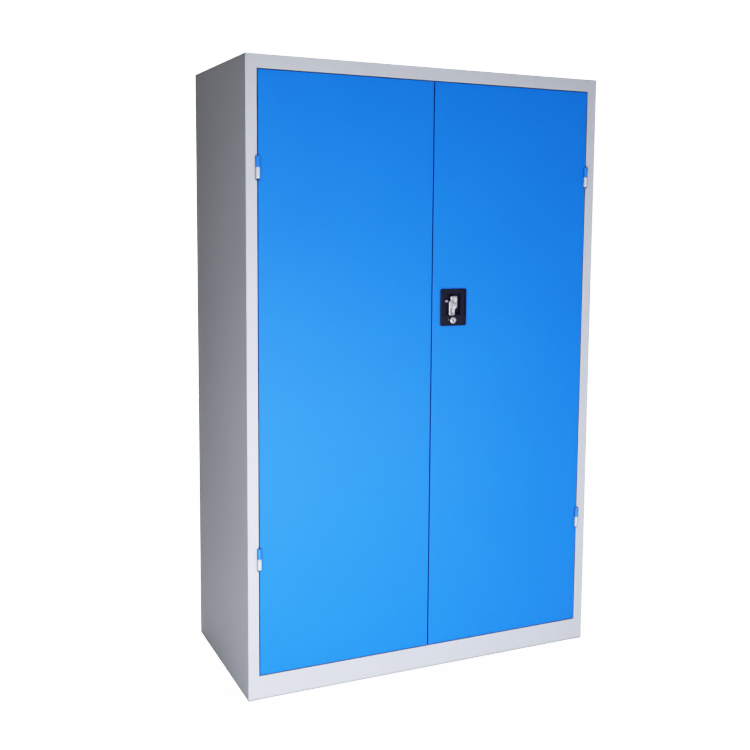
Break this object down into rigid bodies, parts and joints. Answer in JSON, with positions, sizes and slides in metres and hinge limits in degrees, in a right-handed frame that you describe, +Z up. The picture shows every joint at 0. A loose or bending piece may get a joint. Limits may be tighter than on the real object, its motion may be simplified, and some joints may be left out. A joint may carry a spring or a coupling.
{
  "type": "tool cabinet",
  "caption": "Tall steel tool cabinet: grey folded body, two flush hinged doors, recessed lever lock with key barrel and two lock bars, adjustable shelves inside.",
  "frame": {"origin": "on the floor, in the middle of the body's footprint", "axes": "+X to the right as seen from the front, +Y to the back, +Z up"},
  "size_m": [1.12, 0.567, 1.8],
  "materials": {
    "grey_paint": "light grey powder coat, fine orange peel, satin",
    "blue_paint": "bright blue powder coat, fine orange peel, satin",
    "black_plastic": "black moulded plastic, fine grain",
    "lever_chrome": "plated zinc casting, satin",
    "zinc_plate": "bright zinc plated steel",
    "washer_brass": "plain brass",
    "bumper_rubber": "black rubber"
  },
  "bodies": {
    "carcass": {"side_panel_left": "grey_paint", "side_panel_right": "grey_paint", "back_panel": "grey_paint", "top_panel": "grey_paint", "top_stiffener": "grey_paint", "bottom_deck": "grey_paint", "front_plinth": "grey_paint", "rear_base_rail": "grey_paint", "deck_support": "grey_paint", "upright_left_front": "grey_paint", "upright_left_rear": "grey_paint", "upright_right_front": "grey_paint", "upright_right_rear": "grey_paint", "shelf_1": "grey_paint", "shelf_2": "grey_paint", "shelf_3": "grey_paint", "shelf_4": "grey_paint", "shelf_stiffeners": "grey_paint", "shelf_clips_1": "zinc_plate", "shelf_clips_2": "zinc_plate", "shelf_clips_3": "zinc_plate", "shelf_clips_4": "zinc_plate", "door_bumpers": "bumper_rubber", "hinge_frame_half_left_upper": "grey_paint", "hinge_frame_half_left_lower": "grey_paint", "hinge_frame_half_right_upper": "grey_paint", "hinge_frame_half_right_lower": "grey_paint", "hinge_pins": "zinc_plate", "hinge_washers": "washer_brass"},
    "door_left": {"door_panel_left": "blue_paint", "door_stiffener_left": "blue_paint", "hinge_door_half_left_upper": "blue_paint", "hinge_door_half_left_lower": "blue_paint", "left_upper_bolt_plate": "zinc_plate", "left_lower_bolt_plate": "zinc_plate"},
    "door_right": {"door_panel_right": "blue_paint", "door_stiffener_right": "blue_paint", "hinge_door_half_right_upper": "blue_paint", "hinge_door_half_right_lower": "blue_paint", "lock_housing": "black_plastic", "lock_clamps": "zinc_plate", "clamp_screws": "zinc_plate", "lock_barrel": "lever_chrome", "barrel_nut": "zinc_plate", "bar_guides": "zinc_plate"},
    "lever": {"lock_lever": "lever_chrome", "lever_spacer": "washer_brass", "lever_nut": "zinc_plate", "lock_cam": "zinc_plate", "cam_studs": "zinc_plate", "stud_clips": "zinc_plate"},
    "key_plug": {"lock_plug": "lever_chrome", "lock_pawl": "zinc_plate", "pawl_screw": "zinc_plate"},
    "upper_bar": {"upper_lock_bar": "zinc_plate"},
    "lower_bar": {"lower_lock_bar": "zinc_plate"},
    "upper_bolt": {"left_upper_bolt": "zinc_plate"},
    "lower_bolt": {"left_lower_bolt": "zinc_plate"}
  },
  "joints": [
    {"name": "door_left_hinge", "type": "hinge", "parent": "carcass", "child": "door_left", "pos_m": [-0.527, -0.281, 0.9], "axis": [0, 0, -1], "range_deg": [0, 175]},
    {"name": "door_right_hinge", "type": "hinge", "parent": "carcass", "child": "door_right", "pos_m": [0.527, -0.281, 0.9], "axis": [0, 0, 1], "range_deg": [0, 175]},
    {"name": "lever_turn", "type": "hinge", "parent": "door_right", "child": "lever", "pos_m": [0.07, -0.272, 1.118], "axis": [0, -1, 0], "range_deg": [0, 90]},
    {"name": "key_turn", "type": "hinge", "parent": "door_right", "child": "key_plug", "pos_m": [0.07, -0.272, 1.0655], "axis": [0, 1, 0], "range_deg": [0, 90]},
    {"name": "upper_bar_slide", "type": "slide", "parent": "door_right", "child": "upper_bar", "axis": [0, 0, 1], "range_m": [0, 0.0256]},
    {"name": "lower_bar_slide", "type": "slide", "parent": "door_right", "child": "lower_bar", "axis": [0, 0, -1], "range_m": [0, 0.02545]},
    {"name": "upper_bolt_slide", "type": "slide", "parent": "door_left", "child": "upper_bolt", "axis": [0, 0, 1], "range_m": [0, 0.02]},
    {"name": "lower_bolt_slide", "type": "slide", "parent": "door_left", "child": "lower_bolt", "axis": [0, 0, -1], "range_m": [0, 0.02]}
  ],
  "couplings": [
    {"joint": "lever_turn", "follows": "lower_bar_slide", "rad_per_m": 61.707},
    {"joint": "upper_bar_slide", "follows": "lower_bar_slide", "ratio": 1}
  ]
}
